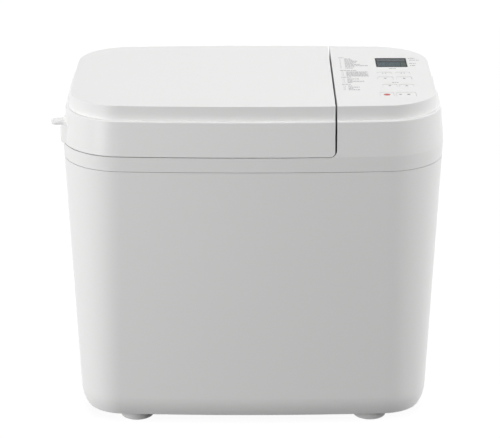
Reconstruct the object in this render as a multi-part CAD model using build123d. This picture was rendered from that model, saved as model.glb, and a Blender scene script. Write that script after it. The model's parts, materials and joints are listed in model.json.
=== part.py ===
"""Bread machine: tapered casing, rear-hinged lid, control panel, baking chamber, bread pan,
kneading drive and electronics, each piece its own solid.

Millimetres.  The casing is modelled about its own middle (x to the right, y to the back, z up) and
every node is moved by CENTRE_SHIFT when it is written, which puts the origin at the middle of the
underside of the whole machine, finger tab and hinge barrels included."""
from build123d import *
import os
from math import asin, atan2, cos, radians, sin, sqrt

# ---------------------------------------------------------------- driving dimensions: casing
HEIGHT = 362.0           # floor to top of lid
FOOT_H = 9.0             # underside of the casing above the floor
BAND_Z = 292.0           # joint between body shell and top frame
LID_Z = 308.4            # joint between top frame and lid: the widest level
LEDGE_Z = 346.4          # narrow ledge below the bevelled top
HALF_W = 204.0           # half width at LID_Z
HALF_D = 126.0           # half depth at LID_Z
CORNER_R = 66.7          # plan corner radius at LID_Z
BOW_R = 2380.0           # front and back are very slightly bowed
BASE_HALF_W = 189.4      # the walls taper to this half width at FOOT_H
BASE_HALF_D = 125.2
BASE_CORNER_R = 46.0
TURN_IN_R = 43.0         # large radius that turns the wall in towards the underside
TURN_IN_DEPTH = 21.5     # how far below the underside that radius would end
UNDER_EDGE_R = 0.6       # small round where the wall meets the underside
LEDGE_INSET = 3.4        # draft of the lid walls between LID_Z and LEDGE_Z
LEDGE_WIDTH = (2.9, 4.2)  # width of the ledge: at the sides, at front and back
TOP_INSET = (5.9, 4.9)   # ledge edge to top face edge: at the sides, at front and back
BEVEL_ROOT = 2.0         # how far the bevelled top reaches down inside the ledge
LEDGE_R = 1.2
TOP_EDGE_R = 0.6
WALL = 2.6               # casing wall
SEAM = 0.5               # joint between body shell and top frame
LID_SEAM = 0.8           # joint between top frame and lid
FIT = 0.3                # gap between covers that nest

# ---------------------------------------------------------------- lid, hinge, finger tab
SPLIT_X = 86.3           # middle of the gap between lid and control panel
SPLIT_GAP = 2.0
LID_CORNER_R = 5.5
HINGE_Y = 130.2
HINGE_Z = 308.4
HINGE_R = 4.0
HINGE_PIN_R = 1.5
HINGE_X = (-112.0, 52.0)
KNUCKLE_LEN = 14.0
TAB_Y = -67.0
TAB_DEPTH = 16.0
TAB_Z = 328.6
TAB_THICK = 4.0
TAB_REACH = 215.5        # tip of the finger tab from the middle of the casing
TAB_ROOT = (-198.0, 8.0, 4.0)   # axis x, foot radius and hollow radius of the flare above the tab
TAB_BOSS = (-190.7, 15.0)       # axis x and radius of the round boss below the tab

# ---------------------------------------------------------------- chamber, pan, drive
CHAMBER_X = -60.0        # middle of chamber, pan and drive shaft
CHAMBER_HALF = (116.0, 94.0)
CHAMBER_Z = 62.0
CHAMBER_CORNER_R = 20.0
SHEET = 1.2
DECK_Z = 302.0           # top of the deck around the chamber mouth
DECK_THICK = 3.0
PAN_HALF = (87.0, 62.0)
PAN_Z = 84.0
PAN_TOP = 224.0
PAN_WALL = 1.6
PAN_CORNER_R = 22.0
BAIL_Z = 229.0
BAIL_R = 2.5
SHAFT_R = 4.0
RUN = 0.05               # radial running clearance
BLADE_BORE_R = 4.15
DOG_Z = 68.0             # lowest level of the coupling wings
MOTOR_X = 136.0
PITCH_LARGE = 54.0
PITCH_SMALL = 9.0
BELT_THICK = 2.0
BELT_GAP = 0.1
BELT_Z = (27.0, 35.0)
CHASSIS_Z = 52.0         # top of the chassis tray
CHASSIS_THICK = 2.0
CHASSIS_X = (-150.0, 178.0)
CHASSIS_HALF_Y = 70.0
BASE_PLATE_THICK = 3.0
SHIELD_X = 76.0

# ---------------------------------------------------------------- control panel
WINDOW = (153.5, 47.8, 34.8, 36.4)     # middle x, y, width, depth
BUTTONS = {
    "button_size": (143.3, 6.5, 16.0, 8.0),
    "button_crust": (163.7, 6.5, 16.0, 8.0),
    "button_menu_down": (143.3, -13.5, 17.0, 12.0),
    "button_menu_up": (163.7, -13.5, 17.0, 12.0),
    "button_timer_down": (146.6, -41.5, 15.6, 11.0),
    "button_timer_up": (164.6, -41.5, 15.6, 11.0),
    "button_stop": (141.5, -74.0, 15.0, 17.0),
    "button_start": (162.0, -74.0, 21.0, 17.0),
}
BUTTON_GAP = 0.2
BUTTON_TOP = HEIGHT - 0.2
BUTTON_TRAVEL = 0.5
BOARD_Z = 343.0
BOARD_THICK = 1.6
SWITCH_TOP = 346.8

FEET = [(sx * 128.4, sy * 94.6) for sx in (-1, 1) for sy in (-1, 1)]
FOOT_R = 18.0
CENTRE_SHIFT = ((TAB_REACH - HALF_W) / 2, (HALF_D - HINGE_Y - HINGE_R) / 2, 0.0)

nodes = {}


# ---------------------------------------------------------------- helpers
def outline(half_w, half_d, corner_r, z):
    """Plan outline at height z: bowed front and back, straight sides, round corners."""
    bow_y = BOW_R - half_d
    corner_x = half_w - corner_r
    corner_y = bow_y - sqrt((BOW_R - corner_r) ** 2 - corner_x ** 2)
    meet = Vector(corner_x, corner_y - bow_y) * (BOW_R / (BOW_R - corner_r)) + Vector(0, bow_y)
    turn = atan2(corner_y - bow_y, corner_x) / 2
    mid = Vector(corner_x + corner_r * cos(turn), corner_y + corner_r * sin(turn))
    edges = []
    for side in (-1, 1):
        edges.append(ThreePointArc((-meet.X, side * -meet.Y), (0, side * half_d),
                                   (meet.X, side * -meet.Y)))
        edges.append(Line((side * half_w, -corner_y), (side * half_w, corner_y)))
        for end in (-1, 1):
            edges.append(ThreePointArc((end * meet.X, side * -meet.Y), (end * mid.X, side * -mid.Y),
                                       (end * half_w, side * -corner_y)))
    return Pos(0, 0, z) * Face(Wire(edges))


def tapered(lower, upper):
    """Solid between two plan outlines, each (z, half width, half depth, corner radius)."""
    faces = [outline(w, d, r, z) for z, w, d, r in (lower, upper)]
    return loft(faces, ruled=True)


def body_section(z, inset=0.0):
    """Plan outline of the tapering wall at height z, moved inwards by inset."""
    t = (z - FOOT_H) / (LID_Z - FOOT_H)
    half_w = BASE_HALF_W + (HALF_W - BASE_HALF_W) * t
    half_d = BASE_HALF_D + (HALF_D - BASE_HALF_D) * t
    corner = BASE_CORNER_R + (CORNER_R - BASE_CORNER_R) * t
    return z, half_w - inset, half_d - inset, corner - inset


def box(x0, x1, y0, y1, z0, z1):
    """Box between two corners."""
    return Pos((x0 + x1) / 2, (y0 + y1) / 2, (z0 + z1) / 2) * Box(x1 - x0, y1 - y0, z1 - z0)


def rod(x, y, z0, z1, r):
    """Upright cylinder."""
    return Pos(x, y, (z0 + z1) / 2) * Cylinder(r, z1 - z0)


def ring(x, y, z0, z1, outer, inner):
    """Upright tube."""
    return rod(x, y, z0, z1, outer) - rod(x, y, z0 - 1, z1 + 1, inner)


def rod_x(x0, x1, y, z, r):
    """Cylinder along x."""
    return Pos((x0 + x1) / 2, y, z) * Rot(0, 90, 0) * Cylinder(r, x1 - x0)


def rod_y(x, y0, y1, z, r):
    """Cylinder along y."""
    return Pos(x, (y0 + y1) / 2, z) * Rot(90, 0, 0) * Cylinder(r, y1 - y0)


def block(x, y, half_x, half_y, z0, z1, corner):
    """Upright block with round plan corners."""
    return Pos(x, y, z0) * extrude(RectangleRounded(2 * half_x, 2 * half_y, corner), z1 - z0)


def group(shapes):
    """Several separate solids in one node."""
    return Compound([solid for shape in shapes for solid in shape.solids()])


def screw(x, y, head_z, shank_z, r):
    """Pan-head screw whose head lies at head_z and whose shank ends at shank_z."""
    step = 1.0 if head_z > shank_z else -1.0
    low, high = sorted((head_z, head_z + step * 1.4 * r))
    shank_low, shank_high = sorted((head_z, shank_z))
    return rod(x, y, low, high, 2 * r) + rod(x, y, shank_low, shank_high, r)


# ---------------------------------------------------------------- casing forms
def turned_in_form(inset):
    """Tapering wall from the underside to BAND_Z, turned in at the bottom, as a full solid."""
    low = FOOT_H - TURN_IN_DEPTH + inset
    form = tapered(body_section(low, inset), body_section(BAND_Z + 20, inset))
    return fillet(form.edges().group_by(Axis.Z)[0], TURN_IN_R - inset)


def lid_form(inset):
    """Upper casing above LID_Z: drafted wall, narrow ledge, bevelled top, as a full solid."""
    z_ledge = LEDGE_Z - inset
    half_w, half_d, corner = (size - LEDGE_INSET - inset for size in (HALF_W, HALF_D, CORNER_R))
    wall = tapered((LID_Z, HALF_W - inset, HALF_D - inset, CORNER_R - inset),
                   (z_ledge, half_w, half_d, corner))
    sections = [(z, half_w - side, half_d - front, corner - side)
                for z, (side, front) in ((z_ledge - BEVEL_ROOT, LEDGE_WIDTH), (HEIGHT - inset, TOP_INSET))]
    top = tapered(*sections)
    if inset == 0:
        wall = fillet(wall.edges().group_by(Axis.Z)[-1], LEDGE_R)
        top = fillet(top.edges().group_by(Axis.Z)[-1], TOP_EDGE_R)
    return wall + top


def lid_space(x_max, z_min, corner):
    """Everything left of x_max and above z_min, with its lower right corner rounded."""
    profile = Rectangle(2 * HALF_W, 100, align=(Align.MAX, Align.MIN))
    profile = fillet(profile.vertices().sort_by(Axis.X)[-2:].sort_by(Axis.Y)[0], corner)
    solid = extrude(profile, 2 * HALF_D + 60, both=True)
    return Pos(x_max, 0, z_min) * Rot(90, 0, 0) * solid


# ---------------------------------------------------------------- casing
def rear_wall_y(x, z):
    """Outer face of the bowed rear wall."""
    half_d = body_section(z)[2]
    return half_d - (BOW_R - sqrt(BOW_R**2 - x**2))


BASE_SCREWS = [(x, side * 97.0) for x in (-90.0, 0.0, 90.0) for side in (-1, 1)]
PLATE_Z = FOOT_H + 0.6
PLATE_TOP = PLATE_Z + BASE_PLATE_THICK
GLAND = (122.0, 44.0)                     # x and z of the cord gland in the rear wall
GLAND_R = 12.0
GLAND_SEAT_Y = rear_wall_y(*GLAND) - 1.1
BOSS_TOP = 60.0                           # top of the screw bosses inside the shell
REAR_SLOTS = [(96.0 + 7.0 * i, 95.0 + 34.0 * row) for row in range(2) for i in range(9)]
REAR_SLOT_HALF = (1.6, 13.0)
FLOOR_SLOTS = [MOTOR_X + 6.0 * i for i in range(-4, 5)]
FLOOR_SLOT_HALF = (1.5, 22.0)


def body_shell():
    """Tapering one-piece casing, open at the top and underneath."""
    shell = turned_in_form(0) & box(-250, 250, -200, 200, FOOT_H, BAND_Z - SEAM / 2)
    shell = fillet(shell.edges().group_by(Axis.Z)[0], UNDER_EDGE_R)
    hollow = turned_in_form(WALL)
    bosses = Part()
    for x, y in BASE_SCREWS:
        side = 1 if y > 0 else -1
        rib = box(x - 1.5, x + 1.5, *sorted((y, y + side * 25)), PLATE_TOP + FIT, BOSS_TOP)
        bosses += rod(x, y, PLATE_TOP + FIT, BOSS_TOP, 5.0) + rib
    shell = shell - hollow + (bosses & turned_in_form(1.0))
    for x, y in BASE_SCREWS:
        shell -= rod(x, y, PLATE_TOP, 40, 2.0)
    x, z = GLAND
    shell -= rod_y(x, GLAND_SEAT_Y, GLAND_SEAT_Y + 20, z, GLAND_R + 0.4)
    shell -= rod_y(x, GLAND_SEAT_Y - 20, GLAND_SEAT_Y + 1, z, 8.0)
    slot = Rot(-90, 0, 0) * block(0, 0, *REAR_SLOT_HALF, 0, 40, 1.5)
    for x, z in REAR_SLOTS:
        shell -= Pos(x, 95, z) * slot
    return shell


def base_plate():
    """Plate that closes the underside, with air slots below the motor."""
    plate = turned_in_form(WALL + FIT) & box(-250, 250, -200, 200, PLATE_Z, PLATE_TOP)
    for x, y in BASE_SCREWS:
        plate -= rod(x, y, 0, 40, 2.0)
    for x, y in FEET:
        plate -= rod(x, y, 0, 40, 4.0)
    for x in FLOOR_SLOTS:
        plate -= block(x, 0, *FLOOR_SLOT_HALF, 0, 40, 1.4)
    for x, y in CHASSIS_SCREWS:
        plate -= rod(x, y, 0, 40, 2.0)
    return plate


def foot(x, y):
    """Soft foot with a button stem that snaps through the base plate."""
    pad = rod(x, y, 0, PLATE_Z, FOOT_R)
    pad = fillet(pad.edges().group_by(Axis.Z)[0], 1.2)
    return pad + rod(x, y, PLATE_Z - 1, PLATE_TOP + 1.5, 4.0) + rod(x, y, PLATE_TOP, PLATE_TOP + 1.5, 6.0)


def knuckle(x0, x1, bore):
    """Hinge barrel along x."""
    return rod_x(x0, x1, HINGE_Y, HINGE_Z, HINGE_R) - rod_x(x0 - 1, x1 + 1, HINGE_Y, HINGE_Z, bore)


BOARD_BOSSES = [(126.0, 71.0), (178.0, 62.0), (127.0, -90.0), (177.0, -86.0)]
FLANGE_HALF = (131.0, 109.0)
CHAMBER_SCREWS = [(CHAMBER_X + sx * 126.5, sy * 50.0) for sx in (-1, 1) for sy in (-1, 1)]


def top_frame():
    """Band round the casing, deck round the chamber mouth and control housing, in one moulding."""
    outer = tapered(body_section(BAND_Z + SEAM / 2), body_section(LID_Z)) + lid_form(0)
    inner = tapered(body_section(BAND_Z - 1, WALL), body_section(LID_Z, WALL)) + lid_form(WALL)
    housing_x = SPLIT_X + SPLIT_GAP / 2
    inner -= box(housing_x, housing_x + WALL, -200, 200, DECK_Z - DECK_THICK, HEIGHT)
    inner -= box(-250, housing_x + WALL, -200, 200, DECK_Z - DECK_THICK, DECK_Z)
    frame = outer - inner
    frame -= lid_space(housing_x, LID_Z - LID_SEAM / 2, LID_CORNER_R + SPLIT_GAP)
    low = BAND_Z - 8
    mid = BAND_Z + SEAM / 2
    tongue = tapered(body_section(low, WALL + FIT), body_section(mid, WALL + FIT))
    tongue += tapered(body_section(mid, WALL - 0.6), body_section(mid + 5, WALL - 0.6))
    tongue -= tapered(body_section(low - 1, WALL + 2.3), body_section(mid + 6, WALL + 2.3))
    frame += tongue
    mouth = [half + SHEET + 1.3 for half in CHAMBER_HALF]
    frame -= block(CHAMBER_X, 0, mouth[0], mouth[1], DECK_Z - 20, DECK_Z + 20, CHAMBER_CORNER_R + 2)
    for x, y in CHAMBER_SCREWS:
        frame -= rod(x, y, DECK_Z - 20, DECK_Z + 1, 1.5)
    for x, y in BOARD_BOSSES:
        frame += rod(x, y, BOARD_Z + BOARD_THICK, HEIGHT - 1, 3.0)
        frame -= rod(x, y, BOARD_Z, HEIGHT - 8, 1.2)
    x, y, width, depth = WINDOW
    frame -= block(x, y, width / 2, depth / 2, HEIGHT - 10, HEIGHT + 5, 1.5)
    for x, y, width, depth in BUTTONS.values():
        frame -= block(x, y, width / 2, depth / 2, HEIGHT - 10, HEIGHT + 5, 2.2)
    for x in HINGE_X:
        half = KNUCKLE_LEN / 2
        arm = box(x - half, x + half, HALF_D - 6, HINGE_Y, HINGE_Z - 8, HINGE_Z - 1.2)
        arm -= rod_x(x - half - 1, x + half + 1, HINGE_Y, HINGE_Z, HINGE_R - 0.5)
        frame += arm + knuckle(x - half, x + half, HINGE_PIN_R + RUN)
    return frame


# ---------------------------------------------------------------- lid
COVER_Z = LID_Z + 0.8
COVER_THICK = 2.5
TRAY_HALF = (106.0, 84.0)
TRAY_TOP = 328.0
GASKET_HALF = (122.0, 100.0)
GASKET_WIDTH = 3.8
LID_BOSSES = [(-188.0, 35.0), (-188.0, -35.0), (70.0, 95.0), (70.0, -95.0)]


def finger_tab():
    """Small tab at the lid's left front corner, flared into the wall above a round boss."""
    inner = 190.0
    half = (TAB_REACH - inner) / 2
    plate = block(-inner - half, TAB_Y, half, TAB_DEPTH / 2, TAB_Z, TAB_Z + TAB_THICK, 6)
    plate = fillet(plate.edges().group_by(Axis.Z)[-1] + plate.edges().group_by(Axis.Z)[0], 1.7)
    x, foot_r, hollow_r = TAB_ROOT
    top = TAB_Z + TAB_THICK
    flare = rod(x, TAB_Y, top - 1, top + hollow_r, foot_r)
    flare -= Pos(x, TAB_Y, top + hollow_r) * Torus(foot_r, hollow_r)
    x, boss_r = TAB_BOSS
    boss = rod(x, TAB_Y, LID_Z + LID_SEAM, TAB_Z + 0.8, boss_r)
    return plate + flare + boss


def lid_shell():
    """Bevelled lid moulding, open underneath, with finger tab, hinge barrels and screw bosses."""
    right = SPLIT_X - SPLIT_GAP / 2
    low = LID_Z + LID_SEAM / 2
    space = lid_space(right, low, LID_CORNER_R)
    hollow = lid_form(WALL) & box(-250, right - WALL, -200, 200, LID_Z - 5, HEIGHT)
    shell = (lid_form(0) & space) + finger_tab() - hollow
    for x, y in LID_BOSSES:
        boss = rod(x, y, COVER_Z + COVER_THICK, HEIGHT - 1, 4.0)
        shell += boss - rod(x, y, 0, COVER_Z + 16, 1.5)
    for x in HINGE_X:
        for side in (-1, 1):
            middle = x + side * (KNUCKLE_LEN + 0.4)
            x0, x1 = middle - KNUCKLE_LEN / 2, middle + KNUCKLE_LEN / 2
            arm = box(x0, x1, HALF_D - 6, HINGE_Y, low + 0.2, HINGE_Z + 5)
            arm -= box(x0 - 1, x1 + 1, 0, HALF_D - 3.2, 0, HEIGHT)
            arm -= rod_x(x0 - 1, x1 + 1, HINGE_Y, HINGE_Z, HINGE_R - 0.5)
            shell += arm + knuckle(x0, x1, HINGE_PIN_R)
    return shell


def lid_inner_cover():
    """Flat moulding that closes the underside of the lid around the steel tray."""
    right = SPLIT_X - SPLIT_GAP / 2 - WALL - FIT
    cover = lid_form(WALL + FIT) & lid_space(right, COVER_Z, 3.0)
    cover &= box(-250, 250, -200, 200, 0, COVER_Z + COVER_THICK)
    cover -= block(CHAMBER_X, 0, TRAY_HALF[0] + 1, TRAY_HALF[1] + 1, 0, HEIGHT, 19)
    for x, y in LID_BOSSES:
        cover -= rod(x, y, 0, HEIGHT, 1.5)
    return cover


def lid_liner():
    """Steel tray above the chamber mouth, domed so that the pan's handle can stand up."""
    half_x, half_y = TRAY_HALF
    flange = block(CHAMBER_X, 0, half_x + 11, half_y + 11, COVER_Z - SHEET, COVER_Z, 24)
    tray = flange + block(CHAMBER_X, 0, half_x, half_y, COVER_Z, TRAY_TOP, 18)
    return tray - block(CHAMBER_X, 0, half_x - SHEET, half_y - SHEET, 0, TRAY_TOP - SHEET, 18 - SHEET)


def lid_insulation():
    """Mineral-wool pad between the tray and the lid's top."""
    half_x, half_y = TRAY_HALF
    return block(CHAMBER_X, 0, half_x - 2, half_y - 2, TRAY_TOP + 0.4, 356, 16)


def lid_gasket():
    """Silicone ring under the lid, just above the chamber flange."""
    half_x, half_y = GASKET_HALF
    seal = block(CHAMBER_X, 0, half_x, half_y, DECK_Z + SHEET + 0.4, COVER_Z, 28)
    return seal - block(CHAMBER_X, 0, half_x - GASKET_WIDTH, half_y - GASKET_WIDTH, 0, HEIGHT, 25)


def lid_screws():
    """Four screws from below, through the inner cover into the lid's bosses."""
    return group([screw(x, y, COVER_Z, COVER_Z + 12, 1.5) for x, y in LID_BOSSES])


# ---------------------------------------------------------------- control panel
def button(name):
    """Cap in the housing roof, a retaining flange below it and a stem down to its switch."""
    x, y, width, depth = BUTTONS[name]
    half_x, half_y = width / 2 - BUTTON_GAP, depth / 2 - BUTTON_GAP
    flange_top = HEIGHT - WALL - 0.2
    cap = block(x, y, half_x, half_y, flange_top - 1, BUTTON_TOP, 2.0)
    cap = fillet(cap.edges().group_by(Axis.Z)[-1], 0.35)
    cap += block(x, y, half_x + 1.0, half_y + 1.0, flange_top - 1.2, flange_top, 2.4)
    return cap + rod(x, y, SWITCH_TOP + BUTTON_TRAVEL + 0.1, flange_top - 1, 2.5)


def display_window():
    """Clear window set in the housing roof."""
    x, y, width, depth = WINDOW
    gap = 0.1
    pane = block(x, y, width / 2 - gap, depth / 2 - gap, HEIGHT - WALL, HEIGHT - 0.25, 1.4)
    return pane + block(x, y, width / 2 + 1.8, depth / 2 + 1.8, HEIGHT - WALL - 1.2, HEIGHT - WALL, 2)


def display_module():
    """Liquid-crystal module between the window and the control board."""
    x, y, width, depth = WINDOW
    low = BOARD_Z + BOARD_THICK
    return block(x, y, width / 2 + 1, depth / 2 + 1, low, HEIGHT - WALL - 1.4, 1)


def control_board():
    """Circuit board hung from the housing roof."""
    board = block(152.0, -10.0, 30.0, 86.0, BOARD_Z, BOARD_Z + BOARD_THICK, 12.0)
    for x, y in BOARD_BOSSES:
        board -= rod(x, y, 0, HEIGHT, 1.2)
    return board


def board_screws():
    """Screws that hang the control board."""
    return group([screw(x, y, BOARD_Z, BOARD_Z + 9, 1.2) for x, y in BOARD_BOSSES])


def push_switches():
    """One push switch on the board below each button."""
    low = BOARD_Z + BOARD_THICK
    switches = []
    for x, y, _, _ in BUTTONS.values():
        switches.append(block(x, y, 3, 3, low, low + 1.6, 0.5) + rod(x, y, low, SWITCH_TOP, 1.75))
    return group(switches)


# ---------------------------------------------------------------- baking chamber
HEATER_Z = 92.0
HEATER_R = 3.3
HEATER_HALF = (101.0, 79.0)
TERMINAL_Y = 12.0
SENSOR = (0.0, 150.0)
CUTOUT = (-30.0, 200.0)


def baking_chamber():
    """Sheet-metal oven that hangs in the deck by its flange."""
    half_x, half_y = CHAMBER_HALF
    outer_r = CHAMBER_CORNER_R + SHEET
    chamber = block(CHAMBER_X, 0, half_x + SHEET, half_y + SHEET, CHAMBER_Z, DECK_Z, outer_r)
    chamber += block(CHAMBER_X, 0, *FLANGE_HALF, DECK_Z, DECK_Z + SHEET, 35)
    chamber -= block(CHAMBER_X, 0, half_x, half_y, CHAMBER_Z + SHEET, HEIGHT, CHAMBER_CORNER_R)
    chamber -= rod(CHAMBER_X, 0, 0, 80, 12.0)
    for side in (-1, 1):
        chamber -= rod_x(CHAMBER_X + half_x - 5, CHAMBER_X + half_x + 5, side * TERMINAL_Y, HEATER_Z, 6.9)
    chamber -= rod_y(SENSOR[0], -half_y - 5, -half_y + 5, SENSOR[1], 3.0)
    for x, y in CHAMBER_SCREWS:
        chamber -= rod(x, y, 0, HEIGHT, 1.5)
    return chamber


def chamber_screws():
    """Screws that hold the chamber flange to the deck."""
    top = DECK_Z + SHEET
    return group([rod(x, y, top, top + 1.8, 3.0) + rod(x, y, top - 10, top, 1.5)
                  for x, y in CHAMBER_SCREWS])


def chamber_supports():
    """Two bent-sheet rails between the chassis and the chamber floor."""
    rails = []
    for side in (-1, 1):
        web = box(-140, 20, *sorted((side * 58, side * 60)), CHASSIS_Z, CHAMBER_Z)
        lip = box(-140, 20, *sorted((side * 48, side * 60)), CHAMBER_Z - 1.5, CHAMBER_Z)
        foot_strip = box(-140, 20, *sorted((side * 58, side * 68)), CHASSIS_Z, CHASSIS_Z + 1.5)
        rails.append(web + lip + foot_strip)
    return group(rails)


def heat_shield():
    """Upright sheet between the chamber and the motor compartment."""
    wall = box(SHIELD_X, SHIELD_X + 1, -95, 95, CHASSIS_Z + 1, 285)
    wall -= box(SHIELD_X - 1, SHIELD_X + 2, -8, 8, 230, 250)
    return wall + box(SHIELD_X, SHIELD_X + 14, -66, 66, CHASSIS_Z, CHASSIS_Z + 1)


def heater_element():
    """Tubular heater: one loop round the foot of the pan, both ends through the right wall."""
    half_x, half_y = HEATER_HALF
    end_x = CHAMBER_X + CHAMBER_HALF[0] + 14
    right, left = CHAMBER_X + half_x, CHAMBER_X - half_x
    points = [(end_x, -TERMINAL_Y), (right, -TERMINAL_Y), (right, -half_y), (left, -half_y)]
    points += [(x, -y) for x, y in reversed(points)]
    path = FilletPolyline(*[(x, y, HEATER_Z) for x, y in points], radius=[8, 30, 30, 30, 30, 8])
    section = Plane(origin=path @ 0, z_dir=path % 0) * Circle(HEATER_R)
    return sweep(section, path)


def heater_bushes():
    """Ceramic bushes where the heater passes through the chamber wall."""
    x0 = CHAMBER_X + CHAMBER_HALF[0] - 3
    bushes = []
    for side in (-1, 1):
        y = side * TERMINAL_Y
        bush = rod_x(x0, x0 + 12, y, HEATER_Z, 6.9)
        bush += rod_x(x0 + 3 + SHEET, x0 + 7, y, HEATER_Z, 9.0)
        bushes.append(bush - rod_x(x0 - 1, x0 + 13, y, HEATER_Z, HEATER_R))
    return group(bushes)


def heater_clips():
    """Brackets on the chamber wall that carry the heater loop."""
    clips = []
    for side in (-1, 1):
        for x in (CHAMBER_X - 50, CHAMBER_X + 50):
            inner, outer = side * (HEATER_HALF[1] - 4), side * CHAMBER_HALF[1]
            arm = box(x - 5, x + 5, *sorted((inner, outer)), HEATER_Z - HEATER_R - 1.5, HEATER_Z - HEATER_R)
            back = box(x - 5, x + 5, *sorted((outer - side * 1.5, outer)), HEATER_Z - 12, HEATER_Z + 4)
            clips.append(arm + back)
    return group(clips)


def temperature_sensor():
    """Probe through the front wall of the chamber."""
    x, z = SENSOR
    wall_y = -CHAMBER_HALF[1] - SHEET
    probe = rod_y(x, wall_y - 14, wall_y + 24, z, 3.0)
    return probe + rod_y(x, wall_y - 3, wall_y, z, 7.0)


def thermal_cutout():
    """Safety thermostat on the chamber's right wall."""
    y, z = CUTOUT
    x = CHAMBER_X + CHAMBER_HALF[0] + SHEET
    can = rod_x(x, x + 8, y, z, 8.0)
    for side in (-1, 1):
        can += box(x + 7, x + 14, *sorted((y + side * 2, y + side * 6)), z - 0.4, z + 0.4)
    return can


def pan_seat():
    """Ring on the chamber floor that takes the pan's foot."""
    low = CHAMBER_Z + SHEET
    seat = ring(CHAMBER_X, 0, low, 80, 46, 43) + ring(CHAMBER_X, 0, low, 73.7, 44, 36)
    return seat + ring(CHAMBER_X, 0, low, low + 1.8, 57, 36)


def pan_clips():
    """Two leaf springs beside the seat that steady the pan."""
    low = CHAMBER_Z + SHEET + 1.8
    clips = []
    for side in (-1, 1):
        leaf = box(CHAMBER_X - 8, CHAMBER_X + 8, *sorted((side * 48, side * 48.8)), low, 82)
        leaf += box(CHAMBER_X - 8, CHAMBER_X + 8, *sorted((side * 48, side * 56)), low, low + 0.8)
        clips.append(leaf)
    return group(clips)


# ---------------------------------------------------------------- bread pan
FOOT_RING = (42.0, 40.0, 74.0)
BAIL_HALF_X = 96.5
BAIL_REACH = 66.0
LUG_X = (91.2, 93.2)
LUG_BASE_X = (85.6, 91.5)


def pan_form(inset, low, high):
    """Pan body, slightly wider at the top, as a full solid."""
    half_x, half_y = PAN_HALF
    bottom = Pos(CHAMBER_X, 0, low) * RectangleRounded(2 * (half_x - 3 - inset), 2 * (half_y - 3 - inset),
                                                       PAN_CORNER_R - 2 - inset)
    top = Pos(CHAMBER_X, 0, high) * RectangleRounded(2 * (half_x - inset), 2 * (half_y - inset),
                                                     PAN_CORNER_R - inset)
    return loft([bottom, top], ruled=True)


def bread_pan():
    """Deep rectangular pan with a rolled rim, a foot ring and two lugs for the handle."""
    hollow = pan_form(PAN_WALL, PAN_Z + PAN_WALL, PAN_TOP + 0.5)
    pan = fillet(pan_form(0, PAN_Z, PAN_TOP).edges().group_by(Axis.Z)[0], 4.0)
    half_x, half_y = PAN_HALF
    rim = block(CHAMBER_X, 0, half_x + 4, half_y + 4, PAN_TOP - 2.5, PAN_TOP, PAN_CORNER_R + 4)
    rim = fillet(rim.edges().group_by(Axis.Z)[-1] + rim.edges().group_by(Axis.Z)[0], 1.1)
    pan += rim
    for side in (-1, 1):
        lug = box(*sorted(CHAMBER_X + side * x for x in LUG_X), -9, 9, BAIL_Z - 22, BAIL_Z + 6)
        lug = fillet(lug.edges().filter_by(Axis.X), 5.0)
        pan += lug + box(*sorted(CHAMBER_X + side * x for x in LUG_BASE_X), -8, 8, 208, 216)
    pan -= hollow
    outer, inner, low = FOOT_RING
    pan += ring(CHAMBER_X, 0, low, PAN_Z + 0.5, outer, inner)
    pan -= rod(CHAMBER_X, 0, 0, 100, 8.0)
    return pan - rod_x(CHAMBER_X - 120, CHAMBER_X + 120, 0, BAIL_Z, BAIL_R + RUN)


def pan_handle():
    """Wire bail, folded down to the front of the pan's rim."""
    inner_x = 89.8
    points = [(-inner_x, 0), (-BAIL_HALF_X, 0), (-BAIL_HALF_X, -BAIL_REACH)]
    points += [(-x, y) for x, y in reversed(points)]
    path = FilletPolyline(*[(CHAMBER_X + x, y, BAIL_Z) for x, y in points], radius=[2.9, 14, 14, 2.9])
    section = Plane(origin=path @ 0, z_dir=path % 0) * Circle(BAIL_R)
    return sweep(section, path)


def pan_bearing():
    """Flanged bush that carries the blade shaft through the pan's bottom."""
    bush = rod(CHAMBER_X, 0, 80.3, 92, 8.0) + rod(CHAMBER_X, 0, 81.5, PAN_Z, 14.0)
    return bush - rod(CHAMBER_X, 0, 70, 100, SHAFT_R + RUN)


def pan_seal():
    """Lip seal above the bush."""
    return ring(CHAMBER_X, 0, 92, 94.5, 8.0, SHAFT_R + RUN)


def pan_shaft():
    """Blade shaft, with a flat where the blade sits."""
    shaft = rod(CHAMBER_X, 0, 73, 113, SHAFT_R)
    shaft -= box(CHAMBER_X + 3.2, CHAMBER_X + 6, -6, 6, 97, 114)
    return chamfer(shaft.edges().group_by(Axis.Z)[-1], 0.5)


def sector(z0, z1, outer, inner, middle, width):
    """Arc-shaped wing about the drive axis; middle and width in degrees."""
    reach = 2 * outer
    half = radians(width / 2)
    points = [(0, 0), (reach * cos(half), -reach * sin(half)), (reach * cos(half), reach * sin(half))]
    wedge = Pos(0, 0, z0) * extrude(make_face(Polyline(*points, close=True)), z1 - z0)
    wing = ring(0, 0, z0, z1, outer, inner) & wedge
    return Pos(CHAMBER_X, 0, 0) * Rot(0, 0, middle) * wing


def coupling(disc_z, hub_z, wing_z, first):
    """Half of the dog coupling: disc, hub and two wings, on an 8 mm shaft."""
    half = rod(CHAMBER_X, 0, *disc_z, 16.0) + rod(CHAMBER_X, 0, *hub_z, 7.0)
    for middle in (first, first + 180):
        half += sector(*wing_z, 15.0, 9.0, middle, 85.0)
    return half - rod(CHAMBER_X, 0, 50, 100, SHAFT_R)


def pan_coupling():
    """Upper half of the coupling, on the pan's shaft."""
    return coupling((DOG_Z + 8, DOG_Z + 11.8), (DOG_Z + 4, DOG_Z + 11.8), (DOG_Z + 1, DOG_Z + 8.5), 90)


def drive_coupling():
    """Lower half of the coupling, on the drive shaft."""
    return coupling((DOG_Z - 3.5, DOG_Z), (DOG_Z - 3.5, DOG_Z + 2), (DOG_Z - 0.5, DOG_Z + 7), 0)


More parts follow.
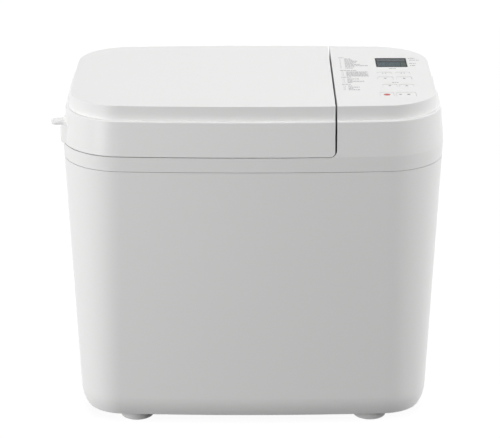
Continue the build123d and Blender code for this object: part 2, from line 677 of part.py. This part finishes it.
def kneading_blade():
    """Paddle with a hub that drops over the flatted shaft."""
    points = [(5, 95.5), (9.5, 95.5), (16, 88.8), (40, 88.8), (41, 102), (31, 113), (5, 117)]
    paddle = Rot(90, 0, 0) * extrude(make_face(Polyline(*points, close=True)), 2.0, both=True)
    paddle = fillet(paddle.edges().filter_by(Axis.Y).sort_by(Axis.X)[-3:], 5.0)
    blade = Pos(CHAMBER_X, 0, 0) * paddle + rod(CHAMBER_X, 0, 95, 118, 9.0)
    bore = rod(CHAMBER_X, 0, 90, 114.5, BLADE_BORE_R)
    return blade - (bore - box(CHAMBER_X + 3.35, CHAMBER_X + 6, -6, 6, 97, 120))


# ---------------------------------------------------------------- drive under the chamber
def bearing_housing():
    """Turned housing below the chassis tray, with a bearing seat at each end."""
    housing = rod(CHAMBER_X, 0, 40, CHAMBER_Z - 0.1, 15.0)
    housing += rod(CHAMBER_X, 0, CHASSIS_Z - CHASSIS_THICK - 2.5, CHASSIS_Z - CHASSIS_THICK, 27.0)
    housing -= rod(CHAMBER_X, 0, 30, 70, 8.0)
    return housing - rod(CHAMBER_X, 0, 30, 47, 11.0) - rod(CHAMBER_X, 0, 55, 70, 11.0)


def drive_bearings():
    """Upper and lower sintered bearings of the drive shaft."""
    return group([ring(CHAMBER_X, 0, z, z + 6.7, 11.0, SHAFT_R + RUN) for z in (40.3, 55.0)])


def drive_shaft():
    """Shaft from the large pulley up to the lower coupling."""
    return rod(CHAMBER_X, 0, 21, DOG_Z + 1.5, SHAFT_R)


def pulley(x, pitch_r, hub_r, hub_z):
    """Flanged flat-belt pulley whose belt runs at pitch_r."""
    face_r = pitch_r - BELT_THICK / 2 - BELT_GAP
    low, high = BELT_Z[0] - 1, BELT_Z[1] + 1
    wheel = rod(x, 0, low - 1.5, high + 1.5, face_r)
    wheel += rod(x, 0, low - 1.5, low, face_r + 3.4) + rod(x, 0, high, high + 1.5, face_r + 3.4)
    if hub_r:
        for z0, z1 in ((low - 2, 30.0), (32.5, high + 2)):
            wheel -= rod(x, 0, z0, z1, face_r - 6)
        wheel += rod(x, 0, *hub_z, hub_r)
        for i in range(6):
            wheel -= Pos(x, 0, 0) * Rot(0, 0, 60 * i) * rod((face_r - 6 + hub_r) / 2, 0, 20, 40, 9.0)
    return wheel - rod(x, 0, 0, 100, SHAFT_R)


def driven_pulley():
    """Large pulley on the drive shaft."""
    return pulley(CHAMBER_X, PITCH_LARGE, 10.0, (22.0, 39.4))


def motor_pulley():
    """Small pulley on the motor shaft."""
    return pulley(MOTOR_X, PITCH_SMALL, 0, None)


def belt_loop(offset):
    """Outline of the belt round both pulleys, offset from its pitch line."""
    big, small = PITCH_LARGE + offset, PITCH_SMALL + offset
    span = MOTOR_X - CHAMBER_X
    lean = asin((big - small) / span)
    sx, sy = sin(lean), cos(lean)
    big_top, small_top = (big * sx, big * sy), (span + small * sx, small * sy)
    edges = [Line(big_top, small_top),
             ThreePointArc(small_top, (span + small, 0), (small_top[0], -small_top[1])),
             Line((small_top[0], -small_top[1]), (big_top[0], -big_top[1])),
             ThreePointArc((big_top[0], -big_top[1]), (-big, 0), big_top)]
    return Face(Wire(edges))


def drive_belt():
    """Flat belt from the motor pulley to the large pulley."""
    loop = belt_loop(BELT_THICK / 2) - belt_loop(-BELT_THICK / 2)
    belt = extrude(loop, (BELT_Z[1] - BELT_Z[0]) / 2, both=True)
    return Pos(CHAMBER_X, 0, sum(BELT_Z) / 2) * belt


MOTOR_Z = 60.5
MOTOR_FIXINGS = [(MOTOR_X + sx * 36, sy * 36) for sx in (-1, 1) for sy in (-1, 1)]


def motor_shaft():
    """Motor shaft, down through the chassis to the small pulley."""
    return rod(MOTOR_X, 0, 22, 122, SHAFT_R)


def motor_housing():
    """Induction motor: laminated stack between two end bells."""
    motor = block(MOTOR_X, 0, 33, 33, MOTOR_Z + 13, MOTOR_Z + 51, 5)
    for z0, z1 in ((MOTOR_Z, MOTOR_Z + 14), (MOTOR_Z + 50, MOTOR_Z + 65)):
        motor += rod(MOTOR_X, 0, z0, z1, 27.0)
    return motor - rod(MOTOR_X, 0, 0, 123, SHAFT_R + RUN)


def motor_bracket():
    """Plate on four legs that carries the motor above the chassis tray."""
    bracket = block(MOTOR_X, 0, 42, 42, MOTOR_Z - 2.5, MOTOR_Z, 6)
    for x, y in MOTOR_FIXINGS:
        bracket += rod(x, y, CHASSIS_Z, MOTOR_Z - 1, 5.0)
    for x, y in MOTOR_FIXINGS:
        bracket -= rod(x, y, 0, 100, 2.0)
    return bracket - rod(MOTOR_X, 0, 0, 100, 10.0)


def motor_capacitor():
    """Run capacitor beside the motor."""
    can = rod(MOTOR_X + 4, -57, CHASSIS_Z, CHASSIS_Z + 46, 13.0)
    return fillet(can.edges().group_by(Axis.Z)[-1], 2.0)


CHASSIS_SCREWS = [(x, y) for x in (CHASSIS_X[0] + 8, CHASSIS_X[1] - 8) for y in (-50.0, 50.0)]


def chassis():
    """Bent-sheet tray on two legs; chamber, bearing housing and motor stand on it."""
    x0, x1 = CHASSIS_X
    half = CHASSIS_HALF_Y
    tray = box(x0, x1, -half, half, CHASSIS_Z - CHASSIS_THICK, CHASSIS_Z)
    for x_out, x_in in ((x0, x0 + 2), (x1, x1 - 2)):
        tray += box(*sorted((x_out, x_in)), -half, half, PLATE_TOP, CHASSIS_Z)
        foot_x = x_in + 7 * (x_in - x_out)
        tray += box(*sorted((x_out, foot_x)), -half, half, PLATE_TOP, PLATE_TOP + 2)
    tray -= rod(CHAMBER_X, 0, 40, 80, 15.0)
    tray -= rod(MOTOR_X, 0, 40, 80, 12.0)
    for x, y in MOTOR_FIXINGS:
        tray -= rod(x, y, 40, 80, 2.0)
    for x, y in CHASSIS_SCREWS:
        tray -= rod(x, y, 0, 30, 2.0)
    return tray


def chassis_screws():
    """Screws that hold the chassis to the base plate and the motor bracket to the chassis."""
    screws = [screw(x, y, PLATE_TOP + 2, PLATE_Z + 0.3, 2.0) for x, y in CHASSIS_SCREWS]
    return group(screws + [screw(x, y, MOTOR_Z, CHASSIS_Z - 5, 2.0) for x, y in MOTOR_FIXINGS])


def base_screws():
    """Screws from below, through the base plate into the shell's bosses."""
    screws = []
    for x, y in BASE_SCREWS:
        head = rod(x, y, PLATE_Z - 2.2, PLATE_Z, 4.0)
        screws.append(head + rod(x, y, PLATE_Z, 28, 2.0))
    return group(screws)


# ---------------------------------------------------------------- electronics and cord inlet
BOARD_FACE_X = SHIELD_X + 12.6


def power_board():
    """Power board stood off from the heat shield by four moulded spacers."""
    board = box(BOARD_FACE_X - 1.6, BOARD_FACE_X, -70, 70, 160, 262)
    for y in (-62, 62):
        for z in (168, 254):
            board += rod_x(SHIELD_X + 1, BOARD_FACE_X - 1, y, z, 3.0)
    return board


def transformer():
    """Mains transformer on the power board."""
    core = box(BOARD_FACE_X + 4, BOARD_FACE_X + 28, 12, 52, 190, 222)
    return core + box(BOARD_FACE_X, BOARD_FACE_X + 32, 21, 43, 184, 228)


def relay():
    """Heater relay on the power board."""
    return box(BOARD_FACE_X, BOARD_FACE_X + 16, -52, -24, 190, 206)


def cord_gland():
    """Flanged bush where the mains lead enters through the rear wall."""
    x, z = GLAND
    seat = GLAND_SEAT_Y
    flange = rod_y(x, seat, seat + 3.6, z, GLAND_R)
    flange = fillet(flange.edges().group_by(Axis.Y)[-1], 1.2)
    gland = flange + rod_y(x, seat - 6, seat + 1, z, 8.0)
    gland += rod_y(x, seat - 6, seat - 3.2, z, 9.5)
    return gland - rod_y(x, seat - 10, seat + 10, z, 4.0)


# ---------------------------------------------------------------- every node
nodes.update({
    "body_shell": body_shell(),
    "base_plate": base_plate(),
    "rubber_feet": group([foot(x, y) for x, y in FEET]),
    "top_frame": top_frame(),
    "lid_shell": lid_shell(),
    "hinge_pins": group([rod_x(x - 20, x + 20, HINGE_Y, HINGE_Z, HINGE_PIN_R) for x in HINGE_X]),
    "display_window": display_window(),
})
for part_builder in (
        lid_inner_cover, lid_liner, lid_insulation, lid_gasket, lid_screws, display_module, control_board,
        board_screws, push_switches, baking_chamber, chamber_screws, chamber_supports, heat_shield,
        heater_element, heater_bushes, heater_clips, temperature_sensor, thermal_cutout, pan_seat,
        pan_clips, bread_pan, pan_handle, pan_bearing, pan_seal, pan_shaft, pan_coupling,
        kneading_blade, drive_coupling, drive_shaft, drive_bearings, bearing_housing, driven_pulley,
        drive_belt, motor_pulley, motor_shaft, motor_housing, motor_bracket, motor_capacitor,
        chassis, chassis_screws, base_screws, power_board, transformer, relay,
        cord_gland):
    nodes[part_builder.__name__] = part_builder()
for button_name in BUTTONS:
    nodes[button_name] = button(button_name)


os.makedirs("parts", exist_ok=True)
for name, shape in nodes.items():
    solids = [Pos(*CENTRE_SHIFT) * solid for solid in shape.solids()]
    export_step(solids[0] if len(solids) == 1 else Compound(solids), f"parts/{name}.step")
print(len(nodes), "nodes written")
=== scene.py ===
"""Looks of the bread machine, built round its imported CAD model. Metres, +Z up, front at -Y."""

import json
import math

import bmesh
import bpy
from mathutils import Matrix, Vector


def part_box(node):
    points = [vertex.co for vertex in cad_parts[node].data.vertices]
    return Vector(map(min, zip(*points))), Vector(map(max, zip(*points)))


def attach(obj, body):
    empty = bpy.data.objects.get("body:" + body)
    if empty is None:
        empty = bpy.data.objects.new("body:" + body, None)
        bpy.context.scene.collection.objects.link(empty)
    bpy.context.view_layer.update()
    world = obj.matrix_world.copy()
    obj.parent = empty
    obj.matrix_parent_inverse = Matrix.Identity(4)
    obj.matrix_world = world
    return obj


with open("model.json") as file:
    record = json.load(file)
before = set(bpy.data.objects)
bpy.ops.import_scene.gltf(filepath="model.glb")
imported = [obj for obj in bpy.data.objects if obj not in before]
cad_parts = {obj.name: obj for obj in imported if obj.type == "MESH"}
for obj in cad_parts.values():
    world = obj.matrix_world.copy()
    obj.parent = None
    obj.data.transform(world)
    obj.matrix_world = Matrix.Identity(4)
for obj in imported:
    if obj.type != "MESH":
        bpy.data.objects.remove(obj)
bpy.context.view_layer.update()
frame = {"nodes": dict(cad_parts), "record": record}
MM = 0.001

# the casing's middle, which the tab and hinges don't shift
low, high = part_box("body_shell")
CENTRE = (low + high) / 2
PANEL_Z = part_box("top_frame")[1].z        # top face of the control panel


def add_object(name, data):
    """A new object in the scene."""
    obj = bpy.data.objects.new(name, data)
    bpy.context.scene.collection.objects.link(obj)
    return obj


# ---------------------------------------------------------------- materials
NOISE_LOW, NOISE_HIGH = 0.3, 0.7          # noise seldom leaves this range
SMEARS_PER_PATCH = 4                      # the gloss varies this much more finely than the colour
SOFT_DETAIL, FINE_DETAIL = 3.0, 2.0       # octaves of the patches and smears, and of the grain
COAT_ROUGHNESS = 0.12


def new_material(name):
    """A material with an output and a shader joined to it."""
    material = bpy.data.materials.new(name)
    material.use_nodes = True
    tree = material.node_tree
    tree.nodes.clear()
    out = tree.nodes.new("ShaderNodeOutputMaterial")
    shader = tree.nodes.new("ShaderNodeBsdfPrincipled")
    tree.links.new(shader.outputs["BSDF"], out.inputs["Surface"])
    return material, tree, shader


def noise(tree, scale, detail, stretch=(1, 1, 1)):
    """Noise in the object's own coordinates; scale is in features per metre."""
    coords = tree.nodes.new("ShaderNodeTexCoord")
    mapping = tree.nodes.new("ShaderNodeMapping")
    mapping.inputs["Scale"].default_value = stretch
    texture = tree.nodes.new("ShaderNodeTexNoise")
    texture.inputs["Scale"].default_value = scale
    texture.inputs["Detail"].default_value = detail
    tree.links.new(coords.outputs["Object"], mapping.inputs["Vector"])
    tree.links.new(mapping.outputs["Vector"], texture.inputs["Vector"])
    return texture.outputs["Fac"]


def spread(tree, source, lowest, highest, socket):
    """Map noise onto a range and feed a socket."""
    scale = tree.nodes.new("ShaderNodeMapRange")
    scale.inputs["From Min"].default_value = NOISE_LOW
    scale.inputs["From Max"].default_value = NOISE_HIGH
    scale.inputs["To Min"].default_value = lowest
    scale.inputs["To Max"].default_value = highest
    tree.links.new(source, scale.inputs["Value"])
    tree.links.new(scale.outputs["Result"], socket)


def two_tone(tree, source, first, second, socket):
    """Blend two colours by noise and feed a socket."""
    ramp = tree.nodes.new("ShaderNodeValToRGB")
    stops = ramp.color_ramp.elements
    stops[0].position, stops[1].position = NOISE_LOW, NOISE_HIGH
    stops[0].color, stops[1].color = (*first, 1), (*second, 1)
    tree.links.new(source, ramp.inputs["Fac"])
    tree.links.new(ramp.outputs["Color"], socket)


def bump(tree, shader, source, depth):
    """Bump of the given depth in millimetres."""
    node = tree.nodes.new("ShaderNodeBump")
    node.inputs["Strength"].default_value = 1.0
    node.inputs["Distance"].default_value = depth * MM
    tree.links.new(source, node.inputs["Height"])
    tree.links.new(node.outputs["Normal"], shader.inputs["Normal"])


def surface(name, colour, roughness, metallic=0.0, tint=0.03, patch=9.0, grain=900.0, depth=0.02,
            stretch=(1, 1, 1), coat=0.0, specular=0.5, swing=0.06):
    """A material with colour patches, uneven roughness and a fine grain.

    tint is how much darker the darkest patches are, and swing how far the roughness strays.
    patch and grain are in features per metre, and depth is the grain's, in millimetres.
    """
    material, tree, shader = new_material(name)
    shader.inputs["Metallic"].default_value = metallic
    shader.inputs["Specular IOR Level"].default_value = specular
    shader.inputs["Coat Weight"].default_value = coat
    shader.inputs["Coat Roughness"].default_value = COAT_ROUGHNESS
    darker = tuple(c * (1 - tint) for c in colour)
    patches = noise(tree, patch, SOFT_DETAIL)
    two_tone(tree, patches, darker, colour, shader.inputs["Base Color"])
    smears = noise(tree, patch * SMEARS_PER_PATCH, SOFT_DETAIL, stretch)
    spread(tree, smears, roughness - swing, roughness + swing, shader.inputs["Roughness"])
    bump(tree, shader, noise(tree, grain, FINE_DETAIL, stretch), depth)
    return material


WHITE = (0.86, 0.86, 0.855)
MOULDED = dict(roughness=0.32, tint=0.004, depth=0.006, swing=0.012)      # smooth, even plastic
LOOKS = {
    # plastics, glass and the electronics
    "casing_plastic": dict(MOULDED, colour=WHITE),
    "lid_plastic": dict(MOULDED, colour=WHITE),
    "button_plastic": dict(MOULDED, colour=(0.87, 0.87, 0.866), depth=0.004),
    "inner_plastic": dict(colour=(0.62, 0.62, 0.61), roughness=0.5, depth=0.03),
    "window_glass": dict(colour=(0.014, 0.018, 0.021), roughness=0.2, tint=0.25, patch=60.0,
                         depth=0.0, specular=0.015),
    "display_grey": dict(colour=(0.10, 0.12, 0.14), roughness=0.3, tint=0.2, patch=40.0),
    "board_green": dict(colour=(0.012, 0.09, 0.04), roughness=0.35, tint=0.35, patch=120.0,
                        grain=500.0, depth=0.08, coat=0.3),
    "component_black": dict(colour=(0.02, 0.02, 0.022), roughness=0.45, tint=0.2),
    # metals
    "chamber_steel": dict(colour=(0.16, 0.16, 0.165), roughness=0.42, metallic=0.55, tint=0.12,
                          patch=14.0, grain=1400.0, depth=0.03),
    "zinc_steel": dict(colour=(0.52, 0.53, 0.54), roughness=0.38, metallic=1.0, tint=0.16,
                       patch=70.0, grain=400.0),
    "bright_steel": dict(colour=(0.63, 0.63, 0.64), roughness=0.24, metallic=1.0, tint=0.06,
                         grain=2500.0, stretch=(1, 1, 0.1)),
    "liner_alu": dict(colour=(0.72, 0.72, 0.73), roughness=0.36, metallic=1.0, tint=0.08,
                      grain=1500.0, stretch=(0.05, 1, 1), depth=0.01),
    "pan_coated": dict(colour=(0.030, 0.030, 0.032), roughness=0.38, metallic=0.2, tint=0.4,
                       patch=700.0, grain=1800.0, depth=0.05, coat=0.25),
    "handle_steel": dict(colour=(0.72, 0.72, 0.73), roughness=0.14, metallic=1.0, tint=0.04),
    "cast_alu": dict(colour=(0.55, 0.55, 0.56), roughness=0.5, metallic=1.0, tint=0.14,
                     patch=40.0, grain=1200.0, depth=0.08),
    "sheath_steel": dict(colour=(0.19, 0.17, 0.155), roughness=0.42, metallic=0.9, tint=0.4,
                         patch=30.0),
    # ceramic, bronze, rubber, wool and laminated steel
    "ceramic_white": dict(colour=(0.72, 0.68, 0.60), roughness=0.75, tint=0.1, grain=1500.0,
                          depth=0.06),
    "bronze_bearing": dict(colour=(0.42, 0.26, 0.10), roughness=0.42, metallic=1.0, tint=0.2,
                           patch=300.0),
    "rubber_black": dict(colour=(0.018, 0.018, 0.018), roughness=0.62, tint=0.3, depth=0.04),
    "rubber_grey": dict(colour=(0.66, 0.66, 0.655), roughness=0.6, tint=0.05, depth=0.04),
    "silicone_grey": dict(colour=(0.30, 0.30, 0.30), roughness=0.5, tint=0.08),
    "wool_pad": dict(colour=(0.55, 0.50, 0.33), roughness=0.95, tint=0.35, patch=160.0, depth=0.6),
    "stack_steel": dict(colour=(0.20, 0.20, 0.215), roughness=0.42, metallic=0.9, tint=0.25,
                        patch=30.0, grain=1600.0, stretch=(0.03, 0.03, 1), depth=0.2),
}
materials = {name: surface(name, **look) for name, look in LOOKS.items()}
PRINT_GREY = surface("print_grey", (0.22, 0.22, 0.23), 0.5, tint=0.1, depth=0.0)
PRINT_PALE = surface("print_pale", (0.21, 0.21, 0.215), 0.5, tint=0.05, depth=0.0)
PRINT_RED = surface("print_red", (0.55, 0.045, 0.04), 0.45, tint=0.1, depth=0.0)

for part in frame["record"]["subparts"]:
    mesh = frame["nodes"][part["node"]].data
    mesh.materials.clear()
    mesh.materials.append(materials[part["material_slot"]])


# ---------------------------------------------------------------- printed marks
# From here to the stage, x, y, lengths and sizes are in millimetres, with x and y from the
# casing's middle, and tops are in metres.
PRINT_RISE = 0.03 * MM
PRINT_SLOT = "component_black"
DISC_SIDES = 40
DASH_SHORTEST, DASH_STEP, DASH_GAP = 1.0, 0.28, 0.55
ROW_LEFTOVER = 0.6                        # a shorter rest of a row gets no dash
NUMERAL_MIDDLE = 0.34                     # height of a numeral's middle, as a share of its size
NUMERAL_CURVE = 3                         # segments in each of its curves


class Print:
    """Flat marks collected into one thin mesh that rides on a body."""

    def __init__(self, name, body, material, slot, top):
        self.name, self.body, self.material, self.slot = name, body, material, slot
        self.top = top
        self.form = bmesh.new()

    def place(self, x, y):
        """The point in the scene, in metres."""
        return CENTRE.x + x * MM, CENTRE.y + y * MM, self.top + PRINT_RISE

    def polygon(self, points):
        self.form.faces.new([self.form.verts.new(self.place(x, y)) for x, y in points])

    def bar(self, x0, x1, y0, y1):
        self.polygon([(x0, y0), (x1, y0), (x1, y1), (x0, y1)])

    def disc(self, x, y, radius):
        angles = [2 * math.pi * i / DISC_SIDES for i in range(DISC_SIDES)]
        self.polygon([(x + radius * math.cos(a), y + radius * math.sin(a)) for a in angles])

    def words(self, x, y, length, height, seed):
        """A row of short dashes, which stands for small print without any lettering."""
        end, step = x + length, seed
        while x < end - ROW_LEFTOVER:
            step = (step * 7 + 3) % 11    # an uneven run of steps from 0 to 10
            width = min(DASH_SHORTEST + DASH_STEP * step, end - x)
            self.bar(x, x + width, y - height / 2, y + height / 2)
            x += width + DASH_GAP

    def numeral(self, text, x, y, size):
        """A plain number that starts at x, with its middle at y."""
        curve = bpy.data.curves.new("numeral", "FONT")
        curve.body = text
        curve.size = size
        curve.resolution_u = NUMERAL_CURVE
        obj = add_object("numeral", curve)
        bpy.context.view_layer.update()
        shaped = obj.evaluated_get(bpy.context.evaluated_depsgraph_get())
        mesh = bpy.data.meshes.new_from_object(shaped)
        foot = y - size * NUMERAL_MIDDLE
        for vert in mesh.vertices:
            vert.co = self.place(x + vert.co.x, foot + vert.co.y)
        self.form.from_mesh(mesh)
        bpy.data.objects.remove(obj)
        bpy.data.curves.remove(curve)
        bpy.data.meshes.remove(mesh)

    def done(self):
        """Face the marks upwards and make them a piece."""
        mesh = bpy.data.meshes.new(self.name)
        bmesh.ops.recalc_face_normals(self.form, faces=self.form.faces)
        for face in self.form.faces:
            if face.normal.z < 0:
                face.normal_flip()
        self.form.to_mesh(mesh)
        self.form.free()
        mesh.materials.append(self.material)
        obj = add_object(self.name, mesh)
        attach(obj, self.body)


def centre_of(node):
    """The x and y of a node's middle, and its top."""
    a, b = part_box(node)
    return (a.x + b.x) / 2 / MM - CENTRE.x / MM, (a.y + b.y) / 2 / MM - CENTRE.y / MM, b.z


# the list of programs: plain numbers, each with a line of dashes, in four groups under headings
LIST_X, NUMBER_X, TEXT_X = 95.4, 96.2, 101.8
NUMBER_SIZE, LINE_HEIGHT, HEAD_HEIGHT = 3.0, 1.8, 1.5
# each group: its heading's y and length, then its lines' y and lengths
GROUPS = (
    (66.5, 6.0,
     (62.0, 57.5, 53.2, 49.0, 44.7, 40.4, 35.0, 30.4, 25.6), (7, 10, 14, 13, 10, 17, 25, 10, 8)),
    (16.3, 18.7, (10.4, 6.5, 2.6, -1.3, -5.1), (24, 22, 24, 23, 24)),
    (-10.0, 11.0, (-16.5, -20.8, -25.2, -29.6), (13, 6, 18, 5)),
    (-36.6, 9.7, (-42.9, -47.4, -52.0, -57.0), (4, 12, 5, 12)),
)
listing = Print("program_list", "casing", PRINT_PALE, PRINT_SLOT, PANEL_Z)
heads = Print("program_heads", "casing", PRINT_GREY, PRINT_SLOT, PANEL_Z)
number = 1
for head_y, head_length, rows, lengths in GROUPS:
    heads.words(LIST_X, head_y, head_length, HEAD_HEIGHT, number + 2)
    for y, length in zip(rows, lengths):
        listing.numeral(str(number), NUMBER_X, y, NUMBER_SIZE)
        listing.words(TEXT_X, y, length, LINE_HEIGHT, number)
        number += 1

# small print to the right of the display: how far behind its middle, how far right of it, length
DISPLAY_PRINT = ((16.5, 19.6, 8.3), (9.2, 20.8, 10.8), (-3.6, 20.0, 7.4), (-12.1, 20.2, 6.6))
DISPLAY_PRINT_HEIGHT = 1.6
window_x, window_y, window_top = centre_of("display_window")
for back, right, length in DISPLAY_PRINT:
    listing.words(window_x + right, window_y + back, length, DISPLAY_PRINT_HEIGHT, int(length))

# headings over the size and crust keys and over the timer keys: x, y, length, height, seed
heads.words(149.8, 23.6, 7.5, 1.6, 4)
listing.words(149.6, -29.6, 7.0, 1.5, 2)
listing.done()
heads.done()

# the display behind its window: a band at the back, a field in front of it and, at the field's
# right, a greener one; places are from the window's middle
FULL_X, FIELD_X, STATUS_X = (-15.6, 15.6), (-15.6, 9.8), (10.4, 15.6)
BAND_Y, FIELD_Y = (5.5, 14.5), (-14.2, 2.2)
LIT = dict(roughness=0.3, tint=0.12, patch=90.0, depth=0.0, specular=0.02)
DISPLAY = (
    ("display_band", (0.099, 0.118, 0.129), FULL_X, BAND_Y),
    ("display_field", (0.054, 0.092, 0.106), FIELD_X, FIELD_Y),
    ("display_status", (0.048, 0.088, 0.073), STATUS_X, FIELD_Y),
)
for name, colour, (x0, x1), (y0, y1) in DISPLAY:
    face = Print(name, "casing", surface(name, colour, **LIT), "window_glass", window_top)
    face.bar(window_x + x0, window_x + x1, window_y + y0, window_y + y1)
    face.done()

# the marks on the keys, each drawn round the key's middle
ARROW_HALF_WIDTH, ARROW_FOOT, ARROW_TIP = 1.9, 1.4, 1.8
PAIR_RADIUS, PAIR_SHIFT = 0.9, 1.6
STOP_RADIUS = 3.6
START_RADIUS, START_X, START_Y = 1.7, 2.6, 0.6
BLOCK_X, BLOCK_Y = (-7.4, -5.0), (-0.6, 1.8)


def arrow(mark, x, y, way):
    """A triangle that points to the panel's back with way 1 and to its front with way -1."""
    mark.polygon([(x - way * ARROW_HALF_WIDTH, y - way * ARROW_FOOT),
                  (x + way * ARROW_HALF_WIDTH, y - way * ARROW_FOOT),
                  (x, y + way * ARROW_TIP)])


def up(mark, x, y):
    arrow(mark, x, y, 1)


def down(mark, x, y):
    arrow(mark, x, y, -1)


def pair(mark, x, y):
    """Two dots side by side."""
    mark.disc(x - PAIR_SHIFT, y, PAIR_RADIUS)
    mark.disc(x + PAIR_SHIFT, y, PAIR_RADIUS)


def stop(mark, x, y):
    """One large dot."""
    mark.disc(x, y, STOP_RADIUS)


def start(mark, x, y):
    """A dot at the right and a small block at the left."""
    mark.disc(x + START_X, y + START_Y, START_RADIUS)
    mark.bar(x + BLOCK_X[0], x + BLOCK_X[1], y + BLOCK_Y[0], y + BLOCK_Y[1])


KEY_MARKS = {
    "button_size": pair, "button_crust": pair,
    "button_menu_down": down, "button_menu_up": up,
    "button_timer_down": down, "button_timer_up": up,
    "button_stop": stop, "button_start": start,
}
for node, draw in KEY_MARKS.items():
    x, y, top = centre_of(node)
    ink = PRINT_RED if draw is stop else PRINT_GREY
    mark = Print(node.replace("button", "mark"), node, ink, PRINT_SLOT, top)
    draw(mark, x, y)
    mark.done()


# ---------------------------------------------------------------- stage, light and camera
BACKDROP, AMBIENT = 1.0, 0.10             # the world's strength for the eye and for the object
FLOOR_COLOUR, FLOOR_ROUGHNESS = 0.12, 0.9
FLOOR_GLOW = 0.93                         # the light that the eye sees the floor give off
FLOOR_HALF = 9.0                          # half the floor's side
CAMERA_PITCH, CAMERA_YAW = math.radians(20.54), math.radians(-0.18)
CAMERA_DISTANCE, CAMERA_AIM_Z = 2.392, 0.181
CAMERA_LENS = 153.65
CAMERA_SHIFT = (-0.0064, 0.0222)


def seen_by_eye(tree):
    """1 for camera, glossy and transmission rays, 0 for the light that falls on the object."""
    path = tree.nodes.new("ShaderNodeLightPath")
    total = path.outputs["Is Camera Ray"]
    for name in ("Is Glossy Ray", "Is Transmission Ray"):
        both = tree.nodes.new("ShaderNodeMath")
        both.operation = "MAXIMUM"
        tree.links.new(total, both.inputs[0])
        tree.links.new(path.outputs[name], both.inputs[1])
        total = both.outputs[0]
    return total


def white_world():
    """A backdrop that is white to look at but lights the object only a little."""
    world = bpy.data.worlds.new("studio")
    bpy.context.scene.world = world
    world.use_nodes = True
    tree = world.node_tree
    tree.nodes.clear()
    out = tree.nodes.new("ShaderNodeOutputWorld")
    mix = tree.nodes.new("ShaderNodeMixShader")
    tree.links.new(seen_by_eye(tree), mix.inputs["Fac"])
    for socket, strength in ((1, AMBIENT), (2, BACKDROP)):        # the two shaders it mixes
        background = tree.nodes.new("ShaderNodeBackground")
        background.inputs["Color"].default_value = (1, 1, 1, 1)
        background.inputs["Strength"].default_value = strength
        tree.links.new(background.outputs["Background"], mix.inputs[socket])
    tree.links.new(mix.outputs["Shader"], out.inputs["Surface"])


def floor_look():
    """A dull grey that gives off its own light for the eye, so that it looks nearly white."""
    material, tree, shader = new_material("studio_floor")
    shader.inputs["Base Color"].default_value = (FLOOR_COLOUR, FLOOR_COLOUR, FLOOR_COLOUR, 1)
    shader.inputs["Roughness"].default_value = FLOOR_ROUGHNESS
    shader.inputs["Specular IOR Level"].default_value = 0.0
    glow = tree.nodes.new("ShaderNodeEmission")
    gain = tree.nodes.new("ShaderNodeMath")
    gain.operation = "MULTIPLY"
    gain.inputs[1].default_value = FLOOR_GLOW
    add = tree.nodes.new("ShaderNodeAddShader")
    tree.links.new(seen_by_eye(tree), gain.inputs[0])
    tree.links.new(gain.outputs["Value"], glow.inputs["Strength"])
    tree.links.new(shader.outputs["BSDF"], add.inputs[0])
    tree.links.new(glow.outputs["Emission"], add.inputs[1])
    tree.links.new(add.outputs["Shader"], tree.nodes["Material Output"].inputs["Surface"])
    return material


def lamp(name, place, aim_z, size, power, glare=True):
    """A soft lamp aimed at a height over the origin; without glare, gloss doesn't mirror it."""
    light = bpy.data.lights.new(name, "AREA")
    light.shape = "RECTANGLE"
    light.size, light.size_y = size
    light.energy = power
    obj = add_object(name, light)
    obj.location = place
    way = Vector((0, 0, aim_z)) - Vector(place)
    obj.rotation_euler = way.to_track_quat("-Z", "Y").to_euler()
    obj.visible_glossy = glare


def place_camera():
    """The camera, at the photograph's viewing angle."""
    data = bpy.data.cameras.new("camera")
    data.lens = CAMERA_LENS
    data.shift_x, data.shift_y = CAMERA_SHIFT
    camera = add_object("camera", data)
    level = math.cos(CAMERA_PITCH)
    away = Vector((math.sin(CAMERA_YAW) * level, -math.cos(CAMERA_YAW) * level,
                   math.sin(CAMERA_PITCH)))
    camera.location = Vector((CENTRE.x, CENTRE.y, CAMERA_AIM_Z)) + away * CAMERA_DISTANCE
    camera.rotation_euler = (-away).to_track_quat("-Z", "Y").to_euler()
    bpy.context.scene.camera = camera


white_world()

mesh = bpy.data.meshes.new("floor")
corners = [(x * FLOOR_HALF, y * FLOOR_HALF, 0) for x, y in ((-1, -1), (1, -1), (1, 1), (-1, 1))]
mesh.from_pydata(corners, [], [(0, 1, 2, 3)])
mesh.materials.append(floor_look())
floor = add_object("floor", mesh)

# each lamp: its place, the height it is aimed at, its width and height, its power in watts
lamp("front_high_soft", (0.0, -1.9, 2.1), 0.3, (2.4, 1.4), 8.0)
lamp("top_soft", (0.0, -0.3, 2.6), 0.3, (2.4, 1.0), 21.8)
lamp("back_high_soft", (0.0, 2.2, 1.6), 0.3, (2.4, 1.4), 8.0)
lamp("back_soft", (0.0, 2.5, 0.3), 0.2, (1.6, 0.5), 14.0)
lamp("right_soft", (2.4, -0.3, 0.8), 0.2, (1.6, 1.4), 41.0, glare=False)
lamp("left_front_soft", (-1.84, -1.84, 0.5), 0.15, (0.9, 0.9), 21.5)
lamp("left_soft", (-2.51, -0.67, 0.5), 0.15, (0.9, 0.9), 27.0, glare=False)

place_camera()
bpy.context.scene.view_settings.view_transform = "Standard"
